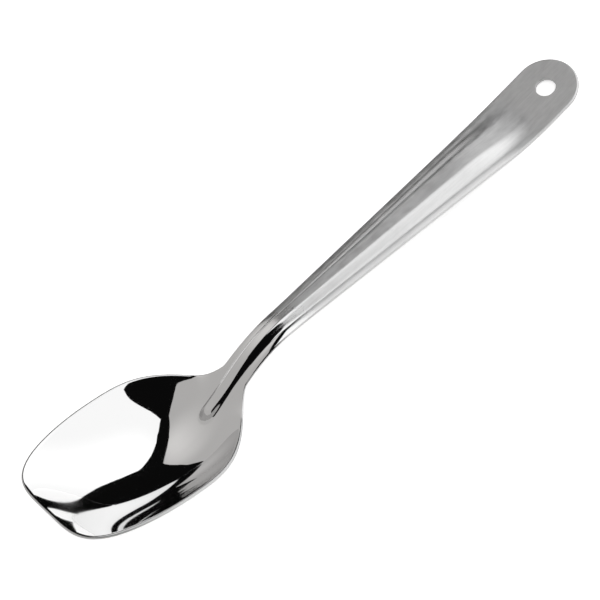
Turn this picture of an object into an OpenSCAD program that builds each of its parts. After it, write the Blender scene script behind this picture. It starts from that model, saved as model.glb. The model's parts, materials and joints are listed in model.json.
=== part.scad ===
// Serving spoon pressed from one blank of stainless sheet: a deep blunt-nosed bowl, a cranked neck,
// a handle stiffened by a raised rib between two flanges, and a flat round end with a hole to hang it by.
// The shape is written as one height over the plan, form(x, y), measured from the plane of the rim.
// The four zones of the pressing share its edge lines, so they meet face to face.

/* [Sheet] */
// Thickness of the steel sheet; its edges are rounded over the whole thickness
sheet_t = 1.2; // [0.8:0.1:2]

/* [Bowl] */
// Width of the bowl over its rounded rim
bowl_w = 48.3; // [40:0.1:58]
// Depth of the bowl's inside below the rim, halfway along
bowl_d = 12.8; // [9:0.1:18]
// From the nose to the root of the neck, where the rim ends
bowl_len = 66.7; // [58:0.1:80]
// From the nose to the bowl's widest place
bowl_widest = 35.5; // [30:0.1:44]
// Width of the nose between its rounded corners
nose_w = 35; // [28:0.5:38]
// How square the nose is: 2 is an oval, more is blunter
nose_squareness = 4.4; // [3:0.1:6]
// How straight the sides run from the nose corners to the widest place
side_fullness = 1.9; // [1.4:0.05:2.2]
// How long the shoulders stay wide before they turn in to the neck
shoulder_fullness = 3.15; // [2:0.05:4]
// How softly the shoulders run out into the neck
shoulder_softness = 1.6; // [1.2:0.05:2.2]
// How full the walls are across the bowl: 2 is a plain curve, more is steeper at the rim
wall_fullness = 2.35; // [2:0.05:2.8]
// Share by which the deepest place lies nearer the neck than the nose
depth_skew_share = 0.2; // [0:0.01:0.3]

/* [Neck] */
// Width of the neck, its narrowest place
neck_w = 10.6; // [8:0.1:14]
// Slope of the neck above the plane of the rim, in degrees
neck_angle = 43; // [25:0.5:50]
// From the root of the neck to the middle of its upper bend
neck_len = 13; // [10:0.1:20]
// From the root to where the shoulders have run out
shoulder_run = 5.7; // [3:0.1:8]
// Half the length of the bend at the root
root_bend = 2.3; // [1:0.1:4]
// Half the length of the upper bend
crook_bend = 10.3; // [6:0.1:11]

/* [Handle] */
// Slope of the handle above the plane of the rim, in degrees
handle_angle = 12.9; // [5:0.1:20]
// From the middle of the upper bend to where the handle starts to widen
grip_start = 11; // [10:0.1:20]
// From where the handle starts to widen to where it is flat
grip_len = 101.3; // [80:0.1:130]
// Width of each flange beside the rib
flange_w = 2.4; // [2:0.1:3.4]
// Drop of each flange's edge below its foot
flange_drop = 0.35; // [0:0.05:0.8]
// Height of the rib over the flanges
rib_h = 2.3; // [1:0.1:3.5]
// Flat top of the rib as a share of its half width
rib_top_share = 0.35; // [0.2:0.05:0.6]
// How far the groove behind the rib is narrower on each side, as a share of the sheet
groove_inset_share = 0.65; // [0.4:0.05:0.8]
// How far the rib reaches into the bowl, from the root of the neck
rib_reach = 8.3; // [4:0.1:12]
// Length over which the rib runs out into the flat end
rib_fade = 30; // [20:1:50]

/* [Hanging tab] */
// Width of the flat round end
tab_w = 20.8; // [16:0.1:28]
// Slope of the flat end above the plane of the rim, in degrees
tab_angle = 21.5; // [10:0.5:26]
// From where the end is flat to the middle of its round
tab_len = 8.6; // [6:0.1:14]
// Half the length over which width and slope settle before the flat end
tab_ease = 8; // [4:0.5:10]
// Diameter of the hanging hole
hole_d = 6.35; // [4:0.05:9]

/* [Hidden] */

// Rows and columns of the pressed sheet, and steps round its edge
bowl_rows = 34;
neck_rows = 16;
handle_rows = 34;
top_cols = 2;
wall_cols = 4;
flange_cols = 7;
edge_steps = 4;
round_fn = 96;

// Step for slopes, and overrun of cuts
probe = sheet_t / 100;
overrun = sheet_t;

// Places along the spoon, from the nose, in the plane of the rim
edge_r = sheet_t / 2;
root_x = bowl_len;
neck_x = root_x + shoulder_run;
crook_x = root_x + neck_len;
taper_x = crook_x + grip_start;
tab_x = taper_x + grip_len;
grip_x = crook_x + crook_bend;
ease_x = tab_x - tab_ease;
rib_foot = neck_w / 2 - flange_w;
groove_inset = sheet_t * groove_inset_share;
rib_nose_x = root_x - rib_reach + rib_foot;

// Half widths of the upper face; the bowl's lies further in, because its wall leans out at the rim
rim_lean = atan(2 * wall_fullness * depth(bowl_widest) / bowl_w);
bowl_half = bowl_w / 2 - edge_r * (1 + sin(rim_lean));
neck_half = neck_w / 2 - edge_r;
tab_half = tab_w / 2 - edge_r;
nose_half = nose_w / 2;

// A straight line that starts smoothly: nought before x = 0, x after it, round within b of it
function ramp(x, b) = x < -b ? 0 : x > b ? x : pow(x + b, 2) / (4 * b);

// A smooth step from 0 to 1 as t goes from 0 to 1
function step(t) = let (s = max(0, min(1, t))) s * s * (3 - 2 * s);

// 0 on the handle and 1 on the flat end
function fade(x) = step((x - tab_x) / rib_fade + 1);

// Half width of the sheet in plan
function nose_round(x) = bowl_half * pow(1 - pow(max(0, 1 - (x - edge_r) / (bowl_widest - edge_r)),
    side_fullness), 1 / nose_squareness);
function shoulder(x) = neck_half + (bowl_half - neck_half) * pow(1 - pow((x - bowl_widest)
    / (neck_x - bowl_widest), shoulder_fullness), shoulder_softness);
function taper(x) = neck_half + (tab_half - neck_half) * (ramp(x - taper_x, tab_ease)
    - ramp(x - ease_x, tab_ease)) / (ease_x - taper_x);
function half(x) = x < bowl_widest ? nose_round(x) : x < neck_x ? shoulder(x) : taper(x);

// Place of the nose's edge at a distance y from the middle
function nose_edge(y) = edge_r + (bowl_widest - edge_r)
    * (1 - pow(1 - pow(abs(y) / bowl_half, nose_squareness), 1 / side_fullness));

// Height of the sheet's edge: the flat rim, the root bend, the upper bend and the flat end
function spine(x) = tan(neck_angle) * ramp(x - root_x, root_bend)
    + (tan(handle_angle) - tan(neck_angle)) * ramp(x - crook_x, crook_bend)
    + (tan(tab_angle) - tan(handle_angle)) * ramp(x - ease_x, tab_ease);

// Depth of the bowl on the middle line; it ends along the neck's own slope
function depth(x) = let (t = 1 - ramp(root_x - x, root_bend) / (root_x - edge_r))
    4 * bowl_d * t * (1 - t) * (1 + depth_skew_share * (2 * t - 1));

// Half width of the rib at its foot, and its height; its nose in the bowl is round
function foot(x) = x < neck_x ? rib_foot : half(x) + edge_r - flange_w;
function rib(x, y, inset) = let (f = foot(x) - inset, r = norm([max(0, rib_nose_x - x), y]))
    rib_h * (1 - fade(x)) * step((f - r) / (f * (1 - rib_top_share)));

// Fall of the flanges towards the edge
function flange(x, y) = let (u = max(0, (abs(y) - foot(x)) / (half(x) - foot(x))))
    flange_drop * (1 - u * u) * step((x - root_x) / neck_len) * (1 - fade(x));

// Height of the upper face over the plan, before the rib is pressed up
function form(x, y) = let (w = half(x), v = w > 0 ? abs(y) / w : 0)
    spine(x) - depth(x) * (1 - pow(v, wall_fullness)) + flange(x, y);
function slope(p) = [form(p.x + probe, p.y) - form(p.x, p.y),
    (form(p.x, p.y + probe) - form(p.x, p.y - probe)) / 2] / probe;

// Upper and lower face at one place of the plan; the lower one lies a sheet thickness below, square
// to it, and has a groove behind the rib
function upper(p) = [p.x, p.y, form(p.x, p.y) + rib(p.x, p.y, 0)];
function lower(p) = let (g = slope(p), d = sheet_t * norm([1, g.x, g.y]) / (1 + g.y * g.y))
    let (y = p.y + d * g.y) [p.x, y, form(p.x, p.y) - d + rib(p.x, y, groove_inset)];

// Shares of the half width at which columns lie: rib top, rib wall and flange
function half_cols(w, f) = concat(
    [for (k = [0 : top_cols - 1]) f * rib_top_share * k / top_cols],
    [for (k = [0 : wall_cols - 1]) f * (rib_top_share + (1 - rib_top_share) * k / wall_cols)],
    [for (k = [0 : flange_cols]) f + (w - f) * k / flange_cols]) / w;
half_count = top_cols + wall_cols + flange_cols;
even_shares = [for (k = [0 : half_count]) k / half_count];
function mirrored(a) = concat([for (k = [half_count : -1 : 1]) -a[k]], a);

// Columns crowd to the rib only where the rib is
function crowd(x) = step((x - root_x / 2) / (rib_nose_x - root_x / 2 - rib_foot));
function cols(x, w) = mirrored(even_shares + (half_cols(w, foot(x)) - even_shares) * crowd(x));

// Plan rows of the bowl: the first follows the nose, and they straighten towards the neck
corner_x = nose_edge(nose_half);
bowl_plan = [for (i = [0 : bowl_rows])
    let (s = i / bowl_rows, x = corner_x + (neck_x - corner_x) * s, w = half(x))
    [for (c = cols(x, w)) [x - (corner_x - nose_edge(c * nose_half)) * pow(1 - s, 3), c * w]]];

// Plan rows of a strip between two places
function strip_plan(x0, x1, rows) = [for (i = [0 : rows])
    let (x = x0 + (x1 - x0) * i / rows, w = half(x)) [for (c = cols(x, w)) [x, c * w]]];
neck_plan = strip_plan(neck_x, grip_x, neck_rows);
handle_plan = strip_plan(grip_x, tab_x, handle_rows);

// Points round the edge of the sheet at one rim place, outwards along the face
function edge_arc(p, out) = let (a = upper(p), b = lower(p), o = [out.x, out.y, slope(p) * out])
    [for (k = [1 : edge_steps - 1]) let (t = 180 * k / edge_steps)
        (a + b) / 2 + (a - b) / 2 * cos(t) + edge_r * o / norm(o) * sin(t)];

// A rim path is walked with the sheet on its left; its ends lie on a cut square to the spoon
function outward(path, k) = k == 0 || k == len(path) - 1 ? [0, sign(path[k].y)] :
    let (d = path[k + 1] - path[k - 1]) [d.y, -d.x] / norm(d);

last_col = 2 * half_count;
function left_side(plan) = [for (i = [len(plan) - 1 : -1 : 0]) [i, last_col]];
function right_side(plan) = [for (i = [0 : len(plan) - 1]) [i, 0]];
function nose_row() = [for (j = [last_col - 1 : -1 : 1]) [0, j]];
function at(plan, path) = [for (q = path) plan[q[0]][q[1]]];

// All points of one zone: upper face, lower face, then the rounded edge along each rim path
function points_of(plan, paths) = concat(
    [for (row = plan, p = row) upper(p)],
    [for (row = plan, p = row) lower(p)],
    [for (path = paths) let (q = at(plan, path))
        for (k = [0 : len(q) - 1]) each edge_arc(q[k], outward(q, k))]);

bowl_paths = [concat(left_side(bowl_plan), nose_row(), right_side(bowl_plan))];
neck_paths = [left_side(neck_plan), right_side(neck_plan)];
handle_paths = [left_side(handle_plan), right_side(handle_plan)];
bowl_points = points_of(bowl_plan, bowl_paths);
neck_points = points_of(neck_plan, neck_paths);
handle_points = points_of(handle_plan, handle_paths);

// The flat end in its own plane: middle of the sheet at the round's middle
function along_tab(d, n) =
    [d * cos(tab_angle) - n * sin(tab_angle), 0, d * sin(tab_angle) + n * cos(tab_angle)];
tab_start = [tab_x, 0, spine(tab_x)];
tab_middle = tab_start + along_tab(tab_len / cos(tab_angle), -edge_r);
tail_under = tab_middle + along_tab(tab_half, -edge_r);
tail_tip = tab_middle + along_tab(tab_half, 0);

// Lying on a table, the spoon touches with the bowl and with the lowest place towards its tail
bowl_under = [for (row = bowl_plan) lower([row[0].x, 0])];
tail_unders = concat([tail_under],
    [for (row = handle_plan) if (row[0].x > tab_x - rib_fade) lower(row[0])]);
rest_slope = min([for (p = tail_unders) max([for (q = bowl_under) (p.z - q.z) / (p.x - q.x)])]);
rest_angle = atan(rest_slope);
function turned(p) = [p.x * cos(rest_angle) + p.z * sin(rest_angle), p.y,
    p.z * cos(rest_angle) - p.x * sin(rest_angle)];
nose_tip = [edge_r, 0];
nose_end = min([for (a = edge_arc(nose_tip, [-1, 0])) turned(a).x]);
tail_end = turned(tail_tip).x + edge_r;
table_z = min([for (p = bowl_under) turned(p).z]);

// One zone of the pressing as a closed sheet; cuts lists the rows that end it
module sheet(plan, points, paths, cuts) {
    rows = len(plan);
    cols = last_col + 1;
    under = rows * cols;
    steps = edge_steps - 1;
    starts = [for (m = [0 : len(paths) - 1]) 2 * under + (m == 0 ? 0 : steps * len(paths[0]))];
    // Corner number of a step round the edge at place k of path m
    function corner(m, k, s) = let (q = paths[m][k], c = q[0] * cols + q[1])
        s == 0 ? c : s == edge_steps ? under + c : starts[m] + k * steps + s - 1;
    faces_up = [for (i = [0 : rows - 2], j = [0 : cols - 2])
        let (a = i * cols + j, b = a + 1, c = a + cols, d = c + 1)
        each j < half_count ? [[a, b, d], [a, d, c]] : [[a, b, c], [b, d, c]]];
    faces_down = [for (f = faces_up) [f[2] + under, f[1] + under, f[0] + under]];
    faces_edge = [for (m = [0 : len(paths) - 1], k = [0 : len(paths[m]) - 2], s = [0 : edge_steps - 1])
        each [[corner(m, k, s), corner(m, k + 1, s), corner(m, k + 1, s + 1)],
              [corner(m, k, s), corner(m, k + 1, s + 1), corner(m, k, s + 1)]]];
    // A cut is a strip from the upper to the lower face, closed by a fan at each rounded end
    function facing(f, flip) = flip ? [f[2], f[1], f[0]] : f;
    faces_cut = [for (i = cuts, j = [0 : last_col - 1]) let (a = i * cols + j, b = a + 1)
        each [facing([a, b, b + under], i == 0), facing([a, b + under, a + under], i == 0)]];
    faces_end = [for (i = cuts, m = [0 : len(paths) - 1], k = [0, len(paths[m]) - 1])
        if (paths[m][k][0] == i) for (s = [1 : steps])
            facing([corner(m, k, 0), corner(m, k, s), corner(m, k, s + 1)],
                (i == 0) != (paths[m][k][1] == 0))];
    polyhedron(points, concat(faces_up, faces_down, faces_edge, faces_cut, faces_end));
}

// Puts a zone, drawn from the plane of the rim, on the table with the origin under the spoon's middle
module lying() {
    translate([-(nose_end + tail_end) / 2, 0, -table_z])
        rotate([0, rest_angle, 0])
            children();
}

// Mirror-polished bowl with the rib's round nose on its rear wall
module bowl() {
    color("whitesmoke") lying() sheet(bowl_plan, bowl_points, bowl_paths, [bowl_rows]);
}

// Cranked neck that carries the rib up out of the bowl
module neck() {
    color("gainsboro") lying() sheet(neck_plan, neck_points, neck_paths, [0, neck_rows]);
}

// Satin handle that widens towards its end, with the rib between two flanges
module handle() {
    color("silver") lying() sheet(handle_plan, handle_points, handle_paths, [0, handle_rows]);
}

// Section of the flat end's edge from the middle out
module tab_edge() {
    translate([0, -edge_r]) square([tab_half, sheet_t]);
    translate([tab_half, 0]) circle(r = edge_r, $fn = round_fn);
}

// Flat round end with the hanging hole
module hanging_tab() {
    back = tab_len / cos(tab_angle);
    reach = back + overrun;
    color("lightgray") lying() difference() {
        translate(tab_middle) rotate([0, -tab_angle, 0]) difference() {
            union() {
                rotate_extrude($fn = round_fn) tab_edge();
                rotate([0, -90, 0]) linear_extrude(reach) {
                    rotate(90) tab_edge();
                    rotate(90) mirror([1, 0]) tab_edge();
                }
            }
            translate([0, 0, -sheet_t]) cylinder(h = 2 * sheet_t, d = hole_d, $fn = round_fn);
        }
        translate([tab_x - 2 * reach, -tab_w, -tab_w]) translate([0, 0, spine(tab_x)])
            cube([2 * reach, 2 * tab_w, 2 * tab_w]);
    }
}

bowl();
neck();
handle();
hanging_tab();
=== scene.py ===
"""Serving spoon pressed from one blank of stainless sheet, seen in a small photo studio."""
import json
import math
from types import SimpleNamespace

import bmesh
import bpy
from mathutils import Matrix, Vector


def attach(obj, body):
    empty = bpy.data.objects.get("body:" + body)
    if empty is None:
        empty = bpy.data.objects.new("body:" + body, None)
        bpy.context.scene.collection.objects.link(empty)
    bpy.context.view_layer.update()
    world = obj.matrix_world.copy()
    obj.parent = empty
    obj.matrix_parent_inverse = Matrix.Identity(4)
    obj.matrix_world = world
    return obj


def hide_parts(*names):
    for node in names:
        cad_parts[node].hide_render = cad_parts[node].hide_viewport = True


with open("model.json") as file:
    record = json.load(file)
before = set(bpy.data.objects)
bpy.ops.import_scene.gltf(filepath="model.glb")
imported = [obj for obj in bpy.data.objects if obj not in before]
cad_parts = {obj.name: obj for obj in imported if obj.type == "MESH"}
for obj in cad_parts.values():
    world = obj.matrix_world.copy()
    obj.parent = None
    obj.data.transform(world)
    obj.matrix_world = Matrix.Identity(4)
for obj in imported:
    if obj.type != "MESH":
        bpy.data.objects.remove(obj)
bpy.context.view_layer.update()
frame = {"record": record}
scene = bpy.context.scene
scene.view_settings.view_transform = "Standard"


# The pressing: one blank of stainless sheet, drawn to a bowl at one end and cranked, flanged and ribbed along
# the handle in the same press. Its faces follow one rule, a height over the plan, so one node tree makes them,
# in millimetres from the plane of the rim, and the bowl, neck and handle are cut from the result.
PRESSING_SIZES = {
    "sheet_t": 1.2,
    "bowl_w": 48.3, "bowl_d": 12.8, "bowl_len": 66.7, "bowl_widest": 35.5, "nose_w": 35.0,
    "nose_squareness": 4.4, "side_fullness": 1.9, "shoulder_fullness": 3.15, "shoulder_softness": 1.6,
    "wall_fullness": 2.35, "depth_skew": 0.2,
    "neck_w": 10.6, "neck_angle": 43.0, "neck_len": 13.0, "shoulder_run": 5.7, "root_bend": 2.3,
    "crook_bend": 10.3,
    "handle_angle": 12.9, "grip_start": 11.0, "grip_len": 101.3, "flange_w": 2.4, "flange_drop": 0.35,
    "rib_h": 2.3, "rib_top": 0.35, "groove_inset": 0.78, "rib_reach": 8.3, "rib_fade": 30.0,
    "tab_w": 20.8, "tab_angle": 21.5, "tab_len": 8.6, "tab_ease": 8.0,
}
BOWL_ROWS, NECK_ROWS, HANDLE_ROWS = 120, 44, 150
TOP_COLUMNS, WALL_COLUMNS, FLANGE_COLUMNS, EDGE_STEPS = 5, 10, 21, 8
HALF_COLUMNS = TOP_COLUMNS + WALL_COLUMNS + FLANGE_COLUMNS
SHEET_ROWS = BOWL_ROWS + NECK_ROWS + HANDLE_ROWS
RIM_STEPS = 2 * SHEET_ROWS + 2 * HALF_COLUMNS
PROBE = 0.04
WELD = 0.01


class Term:
    """A number that varies over the sheet; sums and products of terms become math nodes of its tree."""

    def __init__(self, tree, socket):
        self.tree = tree
        self.socket = socket

    def __add__(self, other):
        return worked(self.tree, "ADD", self, other)

    def __sub__(self, other):
        return worked(self.tree, "SUBTRACT", self, other)

    def __rsub__(self, other):
        return worked(self.tree, "SUBTRACT", other, self)

    def __mul__(self, other):
        return worked(self.tree, "MULTIPLY", self, other)

    def __truediv__(self, other):
        return worked(self.tree, "DIVIDE", self, other)

    def __rtruediv__(self, other):
        return worked(self.tree, "DIVIDE", other, self)

    def __pow__(self, other):
        return worked(self.tree, "POWER", self, other)

    __radd__ = __add__
    __rmul__ = __mul__


def feed(tree, port, part):
    """Links a term or another node's socket to a port, or sets a plain value there."""
    if isinstance(part, Term):
        part = part.socket
    if isinstance(part, bpy.types.NodeSocket):
        tree.links.new(part, port)
    else:
        port.default_value = part


def made(tree, kind, *in_order, **named):
    """A node with its inputs fed, in order or by name; an underscore stands for a space in a name."""
    node = tree.nodes.new(kind)
    for port, part in zip(node.inputs, in_order):
        feed(tree, port, part)
    for label, part in named.items():
        feed(tree, node.inputs[label.replace("_", " ")], part)
    return node


def worked(tree, operation, *parts, clamp=False):
    """A math node over terms and plain numbers."""
    node = tree.nodes.new("ShaderNodeMath")
    node.operation = operation
    node.use_clamp = clamp
    for port, part in zip(node.inputs, parts):
        feed(tree, port, part)
    return Term(tree, node.outputs[0])


def above(term, low):
    """The term, or this limit where the term is lower."""
    return worked(term.tree, "MAXIMUM", term, low)


def size_of(term):
    """A term without its sign."""
    return worked(term.tree, "ABSOLUTE", term)


def share(term):
    """A term held between nought and one."""
    return worked(term.tree, "ADD", term, 0.0, clamp=True)


def smooth(term):
    """A smooth step from nought to one."""
    held = share(term)
    return held * held * (3.0 - 2.0 * held)


def ramp(term, bend):
    """A straight line that starts smoothly: nought before, the term itself after, round within the bend."""
    return (share((term + bend) / (2.0 * bend)) ** 2.0) * bend + above(term - bend, 0.0)


def rise(angle):
    """The slope of an angle in degrees."""
    return worked(angle.tree, "TANGENT", worked(angle.tree, "RADIANS", angle))


def long_of(a, b):
    """The length of a line with these two sides."""
    return worked(a.tree, "SQRT", a * a + b * b)


def parts_of(tree, vector):
    """The three numbers of a vector socket."""
    return [Term(tree, port) for port in made(tree, "ShaderNodeSeparateXYZ", Vector=vector).outputs]


def field_tree(name, inputs, outputs, kind="GeometryNodeTree"):
    """A node tree with named number inputs and outputs, and its inputs as terms."""
    tree = bpy.data.node_groups.new(name, kind)
    for label, value in inputs.items():
        tree.interface.new_socket(label, in_out="INPUT", socket_type="NodeSocketFloat").default_value = value
    for label in outputs:
        tree.interface.new_socket(label, in_out="OUTPUT", socket_type="NodeSocketFloat")
    given = tree.nodes.new("NodeGroupInput")
    return tree, SimpleNamespace(**{label: Term(tree, given.outputs[label]) for label in inputs})


def gives(tree, **parts):
    """The outputs of a tree."""
    result = tree.nodes.new("NodeGroupOutput")
    for label, part in parts.items():
        feed(tree, result.inputs[label], part)


def group_in(tree, kind, shared, **parts):
    """A shared tree placed as a group in another one, with its outputs as terms."""
    node = tree.nodes.new(kind)
    node.node_tree = shared
    for label, part in parts.items():
        feed(tree, node.inputs[label], part)
    return SimpleNamespace(**{port.name: Term(tree, port) for port in node.outputs})


def bowl_depth(z, x):
    """Depth of the bowl on its middle line; it ends along the neck's own slope."""
    t = 1.0 - ramp(z.root_x - x, z.root_bend) / (z.root_x - z.edge_r)
    return 4.0 * z.bowl_d * t * (1.0 - t) * (1.0 + z.depth_skew * (2.0 * t - 1.0))


def with_places(z):
    """Adds the places and half widths that follow from the sizes of the pressing."""
    z.edge_r = z.sheet_t / 2.0
    z.root_x = z.bowl_len
    z.neck_x = z.root_x + z.shoulder_run
    z.crook_x = z.root_x + z.neck_len
    z.grip_x = z.crook_x + z.crook_bend
    z.taper_x = z.crook_x + z.grip_start
    z.tab_x = z.taper_x + z.grip_len
    z.ease_x = z.tab_x - z.tab_ease
    z.rib_foot = z.neck_w / 2.0 - z.flange_w
    z.rib_nose_x = z.root_x - z.rib_reach + z.rib_foot
    z.neck_half = z.neck_w / 2.0 - z.edge_r
    z.tab_half = z.tab_w / 2.0 - z.edge_r
    z.nose_half = z.nose_w / 2.0
    rim_lean = worked(z.bowl_w.tree, "ARCTANGENT",
                      2.0 * z.wall_fullness * bowl_depth(z, z.bowl_widest) / z.bowl_w)
    z.bowl_half = z.bowl_w / 2.0 - z.edge_r * (1.0 + worked(rim_lean.tree, "SINE", rim_lean))
    return z


# One rule for the whole sheet: half width and height over the plan, before the rib is pressed up.
height_tree, h = field_tree("sheet_height", {"x": 0.0, "y": 0.0, **PRESSING_SIZES},
                            ("height", "half", "foot", "fade"))
with_places(h)
nose_share = (1.0 - above(1.0 - (h.x - h.edge_r) / (h.bowl_widest - h.edge_r), 0.0) ** h.side_fullness)
nose_share = above(nose_share, 0.0) ** (1.0 / h.nose_squareness)
turned_in = share((h.x - h.bowl_widest) / (h.neck_x - h.bowl_widest)) ** h.shoulder_fullness
shoulder = h.neck_half + (h.bowl_half - h.neck_half) * (1.0 - turned_in) ** h.shoulder_softness
widening = ((h.tab_half - h.neck_half) * (ramp(h.x - h.taper_x, h.tab_ease) - ramp(h.x - h.ease_x, h.tab_ease))
            / (h.ease_x - h.taper_x))
half = nose_share * shoulder + widening
foot = h.rib_foot + widening
fade = smooth((h.x - h.tab_x) / h.rib_fade + 1.0)
spine = (rise(h.neck_angle) * ramp(h.x - h.root_x, h.root_bend)
         + (rise(h.handle_angle) - rise(h.neck_angle)) * ramp(h.x - h.crook_x, h.crook_bend)
         + (rise(h.tab_angle) - rise(h.handle_angle)) * ramp(h.x - h.ease_x, h.tab_ease))
out_on_flange = above((size_of(h.y) - foot) / (half - foot), 0.0)
flange = (h.flange_drop * (1.0 - out_on_flange * out_on_flange) * smooth((h.x - h.root_x) / h.neck_len)
          * (1.0 - fade))
across = size_of(h.y) / half
height = spine - bowl_depth(h, h.x) * (1.0 - across ** h.wall_fullness) + flange
gives(height_tree, height=height, half=half, foot=foot, fade=fade)

# The sheet's points: each starts as a row along the spoon, a share across it and a turn round its edge, from the
# upper face, at nought, to the lower face, at half a turn.
sheet_tree, z = field_tree("pressed_sheet", PRESSING_SIZES, ())
sheet_tree.is_modifier = True
sheet_tree.interface.new_socket("finish", in_out="INPUT", socket_type="NodeSocketMaterial")
sheet_tree.interface.new_socket("Geometry", in_out="OUTPUT", socket_type="NodeSocketGeometry")
with_places(z)


def place_parts():
    """The place of a point, as it stands where this is used."""
    return parts_of(sheet_tree, made(sheet_tree, "GeometryNodeInputPosition").outputs[0])


def moved_to(geometry, x, y, height):
    """The geometry with its points moved to these places."""
    point = made(sheet_tree, "ShaderNodeCombineXYZ", X=x, Y=y, Z=height)
    return made(sheet_tree, "GeometryNodeSetPosition", Geometry=geometry, Position=point.outputs[0]).outputs[0]


def face_grid(steps_x, steps_y):
    """A flat grid, one wide and one long round the origin."""
    return made(sheet_tree, "GeometryNodeMeshGrid", Size_X=1.0, Size_Y=1.0, Vertices_X=steps_x + 1,
                Vertices_Y=steps_y + 1).outputs["Mesh"]


def stored(geometry, name, value, data_type="FLOAT", domain="POINT"):
    """The geometry with a value kept on it under this name."""
    node = made(sheet_tree, "GeometryNodeStoreNamedAttribute", Geometry=geometry, Name=name)
    node.data_type = data_type
    node.domain = domain
    feed(sheet_tree, node.inputs["Value"], value)
    return node.outputs[0]


grid_x, grid_y, _ = place_parts()
upper_face = moved_to(face_grid(SHEET_ROWS, 2 * HALF_COLUMNS), (grid_x + 0.5) * SHEET_ROWS, grid_y * 2.0, 0.0)
lower_face = moved_to(face_grid(SHEET_ROWS, 2 * HALF_COLUMNS), (grid_x + 0.5) * SHEET_ROWS, grid_y * 2.0, math.pi)
lower_face = made(sheet_tree, "GeometryNodeFlipFaces", Mesh=lower_face).outputs[0]
walk = (grid_x + 0.5) * RIM_STEPS
rim_edge = moved_to(face_grid(RIM_STEPS, EDGE_STEPS),
                    above(SHEET_ROWS - walk, 0.0) + above(walk - (SHEET_ROWS + 2.0 * HALF_COLUMNS), 0.0),
                    1.0 - 2.0 * share((walk - SHEET_ROWS) / (2.0 * HALF_COLUMNS)),
                    (0.5 - grid_y) * math.pi)
blank = sheet_tree.nodes.new("GeometryNodeJoinGeometry")
for part in (upper_face, lower_face, rim_edge):
    feed(sheet_tree, blank.inputs[0], part)


def height_at(x, y):
    """The rule at one place of the plan, with the sizes of the pressing passed on."""
    passed_on = {label: getattr(z, label) for label in PRESSING_SIZES}
    return group_in(sheet_tree, "GeometryNodeGroup", height_tree, x=x, y=y, **passed_on)


def nose_edge(y):
    """Place of the nose's edge at a distance from the middle line."""
    bulge = (1.0 - (size_of(y) / z.bowl_half) ** z.nose_squareness) ** (1.0 / z.side_fullness)
    return z.edge_r + (z.bowl_widest - z.edge_r) * (1.0 - bulge)


def rib(here, x, y, inset):
    """Height of the stiffening rib, with its round nose in the bowl."""
    wide = here.foot - inset
    reach = long_of(above(z.rib_nose_x - x, 0.0), y)
    return z.rib_h * (1.0 - here.fade) * smooth((wide - reach) / (wide * (1.0 - z.rib_top)))


row, across, turn = place_parts()
corner_x = nose_edge(z.nose_half)
on_bowl = share(row / BOWL_ROWS)
row_x = (corner_x + (z.neck_x - corner_x) * on_bowl
         + (z.grip_x - z.neck_x) * share((row - BOWL_ROWS) / NECK_ROWS)
         + (z.tab_x - z.grip_x) * share((row - (BOWL_ROWS + NECK_ROWS)) / HANDLE_ROWS))
at_row = height_at(row_x, 0.0)
column = size_of(across) * HALF_COLUMNS
crowded = (at_row.foot * z.rib_top * share(column / TOP_COLUMNS)
           + at_row.foot * (1.0 - z.rib_top) * share((column - TOP_COLUMNS) / WALL_COLUMNS)
           + (at_row.half - at_row.foot) * share((column - (TOP_COLUMNS + WALL_COLUMNS)) / FLANGE_COLUMNS))
crowd = smooth((row_x - z.root_x / 2.0) / (z.rib_nose_x - z.root_x / 2.0 - z.rib_foot))
out_share = size_of(across) + (crowded / at_row.half - size_of(across)) * crowd
side = worked(sheet_tree, "SIGN", across)
plan_x = row_x - (corner_x - nose_edge(out_share * z.nose_half)) * (1.0 - on_bowl) ** 3.0
plan_y = out_share * at_row.half * side

here = height_at(plan_x, plan_y)
ahead = height_at(plan_x + PROBE, plan_y)
left = height_at(plan_x, plan_y + PROBE)
right = height_at(plan_x, plan_y - PROBE)
slope_x = (ahead.height - here.height) / PROBE
slope_y = (left.height - right.height) / (2.0 * PROBE)
upper_z = here.height + rib(here, plan_x, plan_y, 0.0)
steep = 1.0 + slope_y * slope_y
drop = z.sheet_t * worked(sheet_tree, "SQRT", steep + slope_x * slope_x) / steep
lower_y = plan_y + drop * slope_y
lower_z = here.height - drop + rib(here, plan_x, lower_y, z.groove_inset)

# Outwards in plan: square to the nose on the first row, square to the sides elsewhere.
on_nose = worked(sheet_tree, "LESS_THAN", row, 0.5) * worked(sheet_tree, "LESS_THAN", size_of(across), 0.999)
nose_fall = (nose_edge(plan_y + PROBE) - nose_edge(plan_y - PROBE)) / (2.0 * PROBE)
side_fall = (ahead.half - here.half) / PROBE
out_x = on_nose * -1.0 + (1.0 - on_nose) * side_fall * -1.0
out_y = on_nose * nose_fall + (1.0 - on_nose) * side
out_z = slope_x * out_x + slope_y * out_y
out_long = worked(sheet_tree, "SQRT", out_x * out_x + out_y * out_y + out_z * out_z)
round_edge = worked(sheet_tree, "SINE", turn)
lip = z.edge_r * round_edge / out_long
lean = worked(sheet_tree, "COSINE", turn) / 2.0

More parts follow.
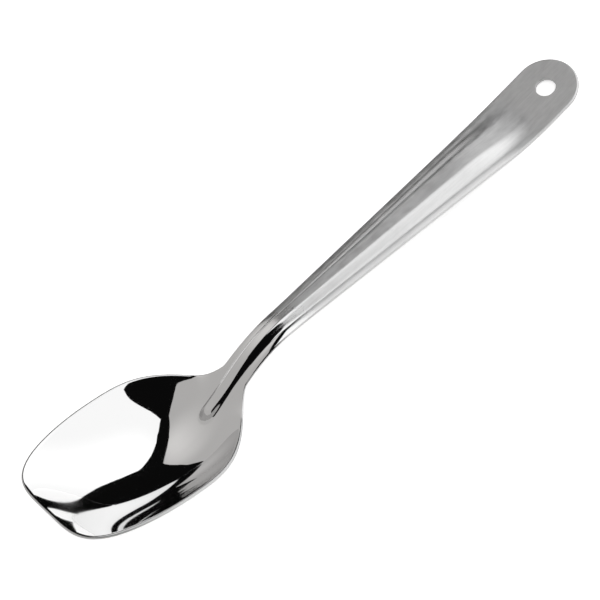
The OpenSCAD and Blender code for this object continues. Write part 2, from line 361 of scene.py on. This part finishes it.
# Three marks stay on the points: the place along the blank, by which the zones are cut, how far a point is round the
# edge, and the grain map, which runs across and along the blank in millimetres, round its edges too.
grain = made(sheet_tree, "ShaderNodeCombineXYZ", X=plan_y + side * z.edge_r * turn, Y=plan_x)
marked = stored(blank.outputs[0], "plan_x", plan_x)
marked = stored(marked, "edge", round_edge)
marked = stored(marked, "grain", grain.outputs[0], "FLOAT2", "CORNER")
pressed = moved_to(marked, plan_x + out_x * lip,
                   (plan_y + lower_y) / 2.0 + (plan_y - lower_y) * lean + out_y * lip,
                   (upper_z + lower_z) / 2.0 + (upper_z - lower_z) * lean + out_z * lip)
welded = made(sheet_tree, "GeometryNodeMergeByDistance", Geometry=pressed, Distance=WELD)
rounded = made(sheet_tree, "GeometryNodeSetShadeSmooth", Geometry=welded.outputs[0])
solid = made(sheet_tree, "GeometryNodeRealizeInstances", Geometry=rounded.outputs[0])
given = next(n for n in sheet_tree.nodes if n.type == "GROUP_INPUT")
finished = made(sheet_tree, "GeometryNodeSetMaterial", Geometry=solid.outputs[0], Material=given.outputs["finish"])
gives(sheet_tree, Geometry=finished.outputs[0])

press = bpy.data.objects.new("pressing", bpy.data.meshes.new("pressing"))
scene.collection.objects.link(press)
shaping = press.modifiers.new("pressed_sheet", "NODES")
shaping.node_group = sheet_tree
for socket in sheet_tree.interface.items_tree:
    if socket.in_out == "INPUT" and socket.name in PRESSING_SIZES:
        shaping[socket.identifier] = PRESSING_SIZES[socket.name]
depsgraph = bpy.context.evaluated_depsgraph_get()
sheet_mesh = bpy.data.meshes.new_from_object(press.evaluated_get(depsgraph))
bpy.data.objects.remove(press)

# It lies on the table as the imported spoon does: the hanging hole gives its tilt and place.
MM = 0.001
sizes = SimpleNamespace(**PRESSING_SIZES)
hole = next(m for m in frame["record"]["mounts"] if m["name"] == "hanging_hole")
tilt = math.radians(sizes.tab_angle) + math.atan2(hole["axis"][0], hole["axis"][2])
neck_start = sizes.bowl_len + sizes.shoulder_run
grip_start = sizes.bowl_len + sizes.neck_len + sizes.crook_bend
tab_start = sizes.bowl_len + sizes.neck_len + sizes.grip_start + sizes.grip_len
tail = [v.co for v in sheet_mesh.vertices if v.co.x > tab_start - WELD and abs(v.co.y) < WELD]
tab_top = max(tail, key=lambda p: p.z)
lean_x = math.sin(math.radians(sizes.tab_angle))
lean_z = math.cos(math.radians(sizes.tab_angle))
hole_middle = Vector((tab_start + sizes.tab_len + lean_x * sizes.sheet_t / 2, 0.0,
                      tab_top.z + sizes.tab_len * lean_x / lean_z - lean_z * sizes.sheet_t / 2))
turned = Matrix.Rotation(tilt, 4, "Y") @ Matrix.Scale(MM, 4)
sheet_mesh.transform(Matrix.Translation(Vector(hole["pos_m"]) - turned @ hole_middle) @ turned)
sheet_normals = [tuple(n.vector) for n in sheet_mesh.vertex_normals]


# The bowl: drawn deep with a blunt nose and rounded corners, its rim rounded over the whole thickness of the
# sheet, and mirror polished inside and out. The rib ends in it as a round nose on the rear wall.
def spoon_piece(name, mesh, node, finish):
    """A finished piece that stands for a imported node."""
    mesh.materials.clear()
    mesh.materials.append(finish)
    piece = bpy.data.objects.new(name, mesh)
    scene.collection.objects.link(piece)
    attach(piece, "root")
    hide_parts(node)


def cut_piece(name, x_from, x_to, node, finish):
    """One zone of the pressing as a closed piece, with the smooth normals of the whole sheet."""
    bm = bmesh.new()
    bm.from_mesh(sheet_mesh)
    along = bm.verts.layers.float["plan_x"]
    number = bm.verts.layers.int.new("number")
    for vert in bm.verts:
        vert[number] = vert.index
    outside = []
    for face in bm.faces:
        middle = sum(v[along] for v in face.verts) / len(face.verts)
        if not x_from < middle < x_to:
            outside.append(face)
    bmesh.ops.delete(bm, geom=outside, context="FACES")
    caps = bmesh.ops.holes_fill(bm, edges=[e for e in bm.edges if e.is_boundary], sides=0)["faces"]
    bm.faces.index_update()
    cap_numbers = {face.index for face in caps}
    numbers = [v[number] for v in bm.verts]
    mesh = bpy.data.meshes.new(name)
    bm.to_mesh(mesh)
    bm.free()
    normals = []
    for face in mesh.polygons:
        for loop in face.loop_indices:
            if face.index in cap_numbers:
                normals.append(tuple(face.normal))
            else:
                normals.append(sheet_normals[numbers[mesh.loops[loop].vertex_index]])
    mesh.normals_split_custom_set(normals)
    for mark in ("number", "plan_x"):
        mesh.attributes.remove(mesh.attributes[mark])
    spoon_piece(name, mesh, node, finish)


def noise(x, y, z, detail):
    """Smooth random values around a half."""
    place = made(x.tree, "ShaderNodeCombineXYZ", X=x, Y=y, Z=z)
    node = made(x.tree, "ShaderNodeTexNoise", Vector=place.outputs[0], Scale=1.0, Detail=detail)
    return Term(x.tree, node.outputs[0])


# Brushing: its ragged start on the neck, and the fine lines and soft patches that it leaves along the grain. Each
# kind of stroke has its changes per millimetre across and along the grain, its own layer of the noise, and its
# detail.
RAGGED_STROKES = (0.55, 0.06, 0.0, 3.0)
LINE_STROKES = (7.0, 0.045, 3.7, 4.0)
PATCH_STROKES = (0.9, 0.3, 9.1, 4.0)
brushing, b = field_tree("brushing", {"across": 0.0, "along": 0.0, "start": 0.0, "slant": 0.0, "run": 1.0,
                                      "ragged": 0.0}, ("brushed", "lines", "mottle"), "ShaderNodeTree")


def strokes(pace_across, pace_along, layer, detail):
    """Random values drawn out along the grain."""
    return noise(b.across * pace_across, b.along * pace_along, layer, detail)


start_here = b.start + b.slant * b.across + b.ragged * (strokes(*RAGGED_STROKES) * 2.0 - 1.0)
gives(brushing, brushed=smooth((b.along - start_here) / b.run), lines=strokes(*LINE_STROKES),
      mottle=strokes(*PATCH_STROKES))

# Handling: soft smudges left by cloth and fingers, and the faint waves of a pressed and polished face, both with
# their changes per metre.
SMUDGE_PACE, SMUDGE_DETAIL, SMUDGE_FROM, SMUDGE_SHARPNESS = 55.0, 3.0, 0.52, 5.0
WAVE_PACE, WAVE_DETAIL = 90.0, 1.0
handling, w = field_tree("handling", {"x": 0.0, "y": 0.0, "z": 0.0}, ("smudge", "waves"), "ShaderNodeTree")
blotch = noise(w.x * SMUDGE_PACE, w.y * SMUDGE_PACE, w.z * SMUDGE_PACE, SMUDGE_DETAIL)
gives(handling, smudge=smooth((blotch - SMUDGE_FROM) * SMUDGE_SHARPNESS),
      waves=noise(w.x * WAVE_PACE, w.y * WAVE_PACE, w.z * WAVE_PACE, WAVE_DETAIL))

BRUSH_START, BRUSH_SLANT, BRUSH_RUN, BRUSH_RAGGED = 80.5, -1.1, 20.0, 2.0
POLISHED_LEVEL, BRUSHED_LEVEL, EDGE_SHADE_LEVEL = 0.70, 0.64, 0.48
POLISHED_ROUGHNESS, BRUSHED_ROUGHNESS, EDGE_ROUGHNESS = 0.03, 0.34, 0.40
LINE_LEVEL, LINE_ROUGHNESS, LINE_DEPTH = 0.18, 0.12, 3.0e-6
PATCH_LEVEL, PATCH_ROUGHNESS = 0.16, 0.16
GRAIN = 0.88


def steel(name, smudges, waves):
    """Stainless steel, mirror polished where the brushing hasn't reached it, and duller on its rounded edges, where
    a darker colour is painted shade.
    """
    material = bpy.data.materials.new(name)
    material.use_nodes = True
    tree = material.node_tree
    shader = tree.nodes["Principled BSDF"]
    shader.inputs["Metallic"].default_value = 1.0
    shader.inputs["Anisotropic"].default_value = GRAIN

    grain_map = made(tree, "ShaderNodeUVMap")
    grain_map.uv_map = "grain"
    across, along, _ = parts_of(tree, grain_map.outputs["UV"])
    x, y, z = parts_of(tree, made(tree, "ShaderNodeTexCoord").outputs["Object"])
    brush = group_in(tree, "ShaderNodeGroup", brushing, across=across, along=along, start=BRUSH_START,
                     slant=BRUSH_SLANT, run=BRUSH_RUN, ragged=BRUSH_RAGGED)
    hand = group_in(tree, "ShaderNodeGroup", handling, x=x, y=y, z=z)
    line = (brush.lines - 0.5) * brush.brushed
    patch = (brush.mottle - 0.5) * brush.brushed
    level = (POLISHED_LEVEL + (BRUSHED_LEVEL - POLISHED_LEVEL) * brush.brushed + line * LINE_LEVEL
             + patch * PATCH_LEVEL)
    rough = (POLISHED_ROUGHNESS + (BRUSHED_ROUGHNESS - POLISHED_ROUGHNESS) * brush.brushed + line * LINE_ROUGHNESS
             + patch * PATCH_ROUGHNESS + hand.smudge * smudges)
    rim = made(tree, "ShaderNodeAttribute")
    rim.attribute_name = "edge"
    rounding = Term(tree, rim.outputs["Fac"])
    # Painted shade: the colour is darker on the rounded edges and the hole's wall, so they look dark; the higher
    # roughness there is the edges' duller finish.
    level = level + (EDGE_SHADE_LEVEL - level) * rounding
    rough = above(rough, EDGE_ROUGHNESS * rounding)
    grey = made(tree, "ShaderNodeCombineColor", level, level, level)
    relief = made(tree, "ShaderNodeBump", Distance=1.0, Height=line * LINE_DEPTH + hand.waves * waves)
    lay = made(tree, "ShaderNodeTangent")
    lay.direction_type = "UV_MAP"
    lay.uv_map = "grain"
    feed(tree, shader.inputs["Base Color"], grey.outputs[0])
    feed(tree, shader.inputs["Roughness"], rough)
    feed(tree, shader.inputs["Normal"], relief.outputs[0])
    feed(tree, shader.inputs["Tangent"], lay.outputs[0])
    return material


polished = steel("polished_steel", smudges=0.015, waves=4.0e-6)
cut_piece("spoon_bowl", -math.inf, neck_start, "bowl", polished)


# The neck: cranked up out of the bowl and over into the handle, between two narrow flanges, and polished like the
# bowl up to where the brushing of the handle starts.
cut_piece("spoon_neck", neck_start, grip_start, "neck", polished)


# The handle: the rib between two flanges, widening towards the end, where the rib runs out flat. It is brushed
# along its length to a satin finish.
satin = steel("satin_steel", smudges=0.04, waves=0.0)
cut_piece("spoon_handle", grip_start, math.inf, "handle", satin)


# The hanging tab: the flat round end of the sheet, brushed like the handle, with a punched hole whose edges are
# slightly rolled over. Rings run from the hole out over the top, round the edge and back below.
ROUND_STEPS, SIDE_STEPS, CUT_STEPS = 64, 10, 24
FLAT_RINGS, HOLE_STEPS = 8, 4
HOLE_ROLL = 0.12
edge_r = sizes.sheet_t / 2
tab_half = sizes.tab_w / 2 - edge_r
hole_r = hole["dims"]["r_mm"]


def cut_at(height):
    """Where the tab starts, from the hole's middle, at this height over the middle of the sheet."""
    return (lean_x * (height - edge_r) - sizes.tab_len) / lean_z


def turns(first, last, steps):
    """Even steps from one value to another, with both of them."""
    return [first + (last - first) * k / steps for k in range(steps + 1)]


# A station is a place on the outline: along and across the tab, its outward direction, and whether it is on the cut.
stations = []
for angle in turns(-math.pi / 2, math.pi / 2, ROUND_STEPS):
    stations.append((0.0, math.cos(angle), math.sin(angle), False))
for cut_share in turns(0.0, 1.0, SIDE_STEPS)[1:]:
    stations.append((cut_share, 0.0, 1.0, False))
for side_share in turns(1.0, -1.0, CUT_STEPS):
    stations.append((1.0, 0.0, side_share, True))
for cut_share in turns(1.0, 0.0, SIDE_STEPS)[:-1]:
    stations.append((cut_share, 0.0, -1.0, False))

# A ring is a share of the way out from the hole, and a turn round the outer edge or round the hole's edge.
rings = [(share_out, 0.0, 0.0) for share_out in turns(0.0, 1.0, FLAT_RINGS)]
rings += [(1.0, turn_out, 0.0) for turn_out in turns(0.0, math.pi, EDGE_STEPS)[1:]]
rings += [(share_out, math.pi, 0.0) for share_out in turns(1.0, 0.0, FLAT_RINGS)[1:]]
rings += [(0.0, math.pi, turn_in) for turn_in in turns(0.0, math.pi / 2, HOLE_STEPS)[1:]]
rings += [(0.0, 0.0, turn_in) for turn_in in turns(math.pi / 2, 0.0, HOLE_STEPS)]


def tab_point(station, ring):
    """Place, normal and grain of one point of the tab, in millimetres from the hole's middle."""
    cut_share, out_x, out_y, on_cut = station
    share_out, turn_out, turn_in = ring
    lip = 0.0 if on_cut else edge_r * math.sin(turn_out)
    height = edge_r * math.cos(turn_out)
    rim_x = cut_at(height) * cut_share + (tab_half + lip) * out_x
    rim_y = (tab_half + lip) * out_y
    bearing = math.atan2(tab_half * out_y, cut_at(0.0) * cut_share + tab_half * out_x)
    hole_wall = hole_r + HOLE_ROLL * (1.0 - math.sin(turn_in))
    hole_x, hole_y = hole_wall * math.cos(bearing), hole_wall * math.sin(bearing)
    sink = HOLE_ROLL * (1.0 - math.cos(turn_in)) * (1.0 if turn_out == 0.0 else -1.0)
    place = Vector((hole_x + (rim_x - hole_x) * share_out, hole_y + (rim_y - hole_y) * share_out, height - sink))
    normal = Vector((out_x * math.sin(turn_out), out_y * math.sin(turn_out), math.cos(turn_out)))
    if turn_in:
        normal = (normal * math.cos(turn_in)
                  - Vector((math.cos(bearing), math.sin(bearing), 0.0)) * math.sin(turn_in))
    flat_x = cut_at(0.0) * cut_share + tab_half * out_x
    map_x = hole_x + (flat_x - hole_x) * share_out + out_x * edge_r * turn_out
    map_y = hole_y + (tab_half * out_y - hole_y) * share_out + out_y * edge_r * turn_out
    return place, normal, (map_y, tab_start + sizes.tab_len + map_x * lean_z)


bm = bmesh.new()
tab_edge = bm.verts.layers.float.new("edge")
corners = [[bm.verts.new(tab_point(station, ring)[0]) for station in stations] for ring in rings[:-1]]
for ring, ring_corners in zip(rings, corners):
    for corner in ring_corners:
        corner[tab_edge] = max(math.sin(ring[1]), math.sin(ring[2]))
corners.append(corners[0])
cut_normal = Vector((-lean_z, 0.0, lean_x))
tab_map = bm.loops.layers.uv.new("grain")
tab_normals = bm.loops.layers.float_vector.new("own_normal")
for r in range(len(rings) - 1):
    on_edge = 0.0 < rings[r][1] + rings[r + 1][1] < 2.0 * math.pi
    for s in range(len(stations)):
        after = (s + 1) % len(stations)
        quad = [(r, s), (r + 1, s), (r + 1, after), (r, after)]
        face = bm.faces.new([corners[i][j] for i, j in quad])
        face.smooth = True
        cut_face = on_edge and stations[s][0] == 1.0 and stations[after][0] == 1.0
        for loop, (i, j) in zip(face.loops, quad):
            _, normal, grain_place = tab_point(stations[j], rings[i])
            loop[tab_map].uv = grain_place
            loop[tab_normals] = cut_normal if cut_face else normal
bmesh.ops.remove_doubles(bm, verts=bm.verts, dist=WELD / 10)
tab_mesh = bpy.data.meshes.new("spoon_tab")
bm.to_mesh(tab_mesh)
bm.free()
own = [tuple(corner.vector) for corner in tab_mesh.attributes["own_normal"].data]
tab_mesh.attributes.remove(tab_mesh.attributes["own_normal"])
tab_mesh.normals_split_custom_set(own)
up = Vector(hole["axis"])
tab_axes = Matrix((Vector((up.z, 0.0, -up.x)), Vector((0.0, 1.0, 0.0)), up)).transposed().to_4x4()
tab_mesh.transform(Matrix.Translation(Vector(hole["pos_m"])) @ tab_axes @ Matrix.Scale(MM, 4))
spoon_piece("spoon_tab", tab_mesh, "hanging_tab", satin)


# The studio: a pale table that runs out of sight, a large softbox beyond the hanging end, a grey card from the far
# side round behind the nose, darkness between them and a dark strip on the table. The camera doesn't see the cards
# or the strip.
BOWL_MIDDLE = Vector((-0.07, 0.0, 0.012))
CARD_AWAY = 3.0


def heading(bearing, height):
    """The direction with this bearing from +X and this height over the horizon, in degrees."""
    flat = math.cos(math.radians(height))
    return Vector((flat * math.cos(math.radians(bearing)), flat * math.sin(math.radians(bearing)),
                   math.sin(math.radians(height))))


def emptied(owner):
    """A new material or world, and its tree without any node."""
    owner.use_nodes = True
    owner.node_tree.nodes.clear()
    return owner, owner.node_tree


def glow(name, colour, bright, dim, bright_heading, reach):
    """Light that falls off smoothly from a bright place of a card to its dim parts, this far away in degrees."""
    material, tree = emptied(bpy.data.materials.new(name))
    away = made(tree, "ShaderNodeVectorMath")
    away.operation = "DISTANCE"
    feed(tree, away.inputs[0], made(tree, "ShaderNodeTexCoord").outputs["Object"])
    feed(tree, away.inputs[1], BOWL_MIDDLE + heading(*bright_heading) * CARD_AWAY)
    far = 2.0 * CARD_AWAY * math.sin(math.radians(reach / 2.0))
    strength = bright + (dim - bright) * smooth(Term(tree, away.outputs["Value"]) / far)
    light = made(tree, "ShaderNodeEmission", Color=(*colour, 1.0), Strength=strength)
    made(tree, "ShaderNodeOutputMaterial", Surface=light.outputs[0])
    return material


def stage_sheet(name, points, faces, material):
    """A sheet of the studio, which is no part of the spoon."""
    mesh = bpy.data.meshes.new(name)
    mesh.from_pydata([tuple(p) for p in points], [], faces)
    mesh.materials.append(material)
    sheet = bpy.data.objects.new(name, mesh)
    scene.collection.objects.link(sheet)
    return sheet


def card(name, middle, headings, material):
    """A curved card round the bowl, seen from it in these directions, that the camera doesn't see."""
    points = [BOWL_MIDDLE + heading(*h) * CARD_AWAY for h in headings + [middle]]
    fan = [(k, (k + 1) % len(headings), len(headings)) for k in range(len(headings))]
    stage_sheet(name, points, fan, material).visible_camera = False


# The cards' edges, by bearing and height from the middle of the bowl, in degrees. Their feet are a little below the
# horizon.
FOOT = -0.3
SOFTBOX_EDGE = [(-80.5, 78), (-61, 80), (-36, 81), (-10, 80), (5, 77), (18, 74), (26, 70), (30, 66), (32.5, 61.5),
                (34, 57), (34, 50), (33.5, 42), (32.5, 38.5), (29, 34), (26.7, 29), (25, 24), (24.3, 20),
                (24.2, 14.5), (24.9, 10.4), (27.1, 4.2), (28.9, FOOT), (0, FOOT), (-30, FOOT), (-60, FOOT),
                (-74, FOOT), (-74, 22), (-73, 28), (-73, 33), (-74.2, 39), (-76.7, 49), (-80, 60), (-81.5, 69)]
GREY_EDGE = [(-130, 82), (180, 87.5), (84, 84), (72.5, 80), (65, 71), (60.5, 63), (56.5, 55), (52.5, 48.3),
             (64, 42.7), (71, 37.5), (76, 30), (80.5, 24), (84, 17), (87, FOOT), (110, FOOT), (140, FOOT),
             (170, FOOT), (200, FOOT), (225, FOOT), (245, FOOT), (245, 15), (244.5, 25), (244.5, 35), (243, 45),
             (236, 53), (231, 57), (228, 61), (227, 67), (229, 75)]
card("softbox", (-25, 45), SOFTBOX_EDGE,
     glow("softbox_light", colour=(1.0, 1.0, 1.0), bright=1.80, dim=1.34, bright_heading=(2, 36), reach=45))
card("grey_card", (158, 20), GREY_EDGE,
     glow("grey_light", colour=(1.0, 0.98, 0.965), bright=0.89, dim=0.58, bright_heading=(80, 61), reach=34))

# The table glows where the camera or the steel sees it, less so close to the spoon, and is clear from below.
FLOOR = 6.0
TABLE_COLOUR = (0.9, 0.9, 0.9, 1.0)
SEEN_GLOW, MIRRORED_GLOW, SHADE_REACH = 0.62, 0.70, 0.06
pale, tree = emptied(bpy.data.materials.new("pale_table"))
ray = made(tree, "ShaderNodeLightPath")
open_sky = made(tree, "ShaderNodeAmbientOcclusion", Distance=SHADE_REACH)
table_glow = (SEEN_GLOW * Term(tree, ray.outputs["Is Camera Ray"])
              + MIRRORED_GLOW * Term(tree, ray.outputs["Is Glossy Ray"]) * Term(tree, open_sky.outputs["AO"]))
matt = made(tree, "ShaderNodeBsdfDiffuse", Color=TABLE_COLOUR)
light = made(tree, "ShaderNodeEmission", Strength=table_glow)
lit = made(tree, "ShaderNodeAddShader", matt.outputs[0], light.outputs[0])
clear = made(tree, "ShaderNodeBsdfTransparent")
below = made(tree, "ShaderNodeNewGeometry").outputs["Backfacing"]
clear_below = made(tree, "ShaderNodeMixShader", below, lit.outputs[0], clear.outputs[0])
made(tree, "ShaderNodeOutputMaterial", Surface=clear_below.outputs[0])
stage_sheet("floor", [(-FLOOR, -FLOOR, 0), (FLOOR, -FLOOR, 0), (FLOOR, FLOOR, 0), (-FLOOR, FLOOR, 0)],
            [(0, 1, 2, 3)], pale)

# A dark strip lies on the table, seen only in the steel as a painted dark reflection: it starts as a short edge and
# spreads between two bearings to the table's end.
DARK = (0.004, 0.004, 0.004, 1.0)
STRIP_LEFT, STRIP_LEFT_BEARING = Vector((-0.016, 0.062, 0.0004)), 40.8
STRIP_RIGHT, STRIP_RIGHT_BEARING = Vector((0.0015, 0.0625, 0.0004)), 28.6
black, tree = emptied(bpy.data.materials.new("black_paper"))
matt = made(tree, "ShaderNodeBsdfDiffuse", Color=DARK)
made(tree, "ShaderNodeOutputMaterial", Surface=matt.outputs[0])
strip_edge = [STRIP_LEFT, STRIP_LEFT + heading(STRIP_LEFT_BEARING, 0) * FLOOR,
              STRIP_RIGHT + heading(STRIP_RIGHT_BEARING, 0) * FLOOR, STRIP_RIGHT]
strip = stage_sheet("dark_strip", strip_edge, [(0, 1, 2, 3)], black)
strip.visible_camera = False
strip.visible_diffuse = False
strip.visible_shadow = False

# The background is white to the camera, and dark to everything else.
scene.world, tree = emptied(bpy.data.worlds.new("studio"))
ray = made(tree, "ShaderNodeLightPath")
white = made(tree, "ShaderNodeBackground", Color=(1.0, 1.0, 1.0, 1.0))
dark = made(tree, "ShaderNodeBackground", Color=DARK)
pick = made(tree, "ShaderNodeMixShader", ray.outputs["Is Camera Ray"], dark.outputs[0], white.outputs[0])
made(tree, "ShaderNodeOutputWorld", Surface=pick.outputs[0])


# The camera: above the near side of the bowl, turned so that the handle runs to the upper right corner.
AIM, AWAY, BEARING, HEIGHT, ROLL = Vector((-0.00505, 0.00785, 0.0)), 0.8051, -109.73, 57.46, -27.46
camera_data = bpy.data.cameras.new("camera")
camera_data.sensor_width = 36.0
camera_data.lens = 157.87
camera = bpy.data.objects.new("camera", camera_data)
scene.collection.objects.link(camera)
towards = heading(BEARING, HEIGHT)
camera.matrix_world = (Matrix.Translation(AIM + towards * AWAY)
                       @ towards.to_track_quat("Z", "Y").to_matrix().to_4x4()
                       @ Matrix.Rotation(math.radians(ROLL), 4, "Z"))
scene.camera = camera
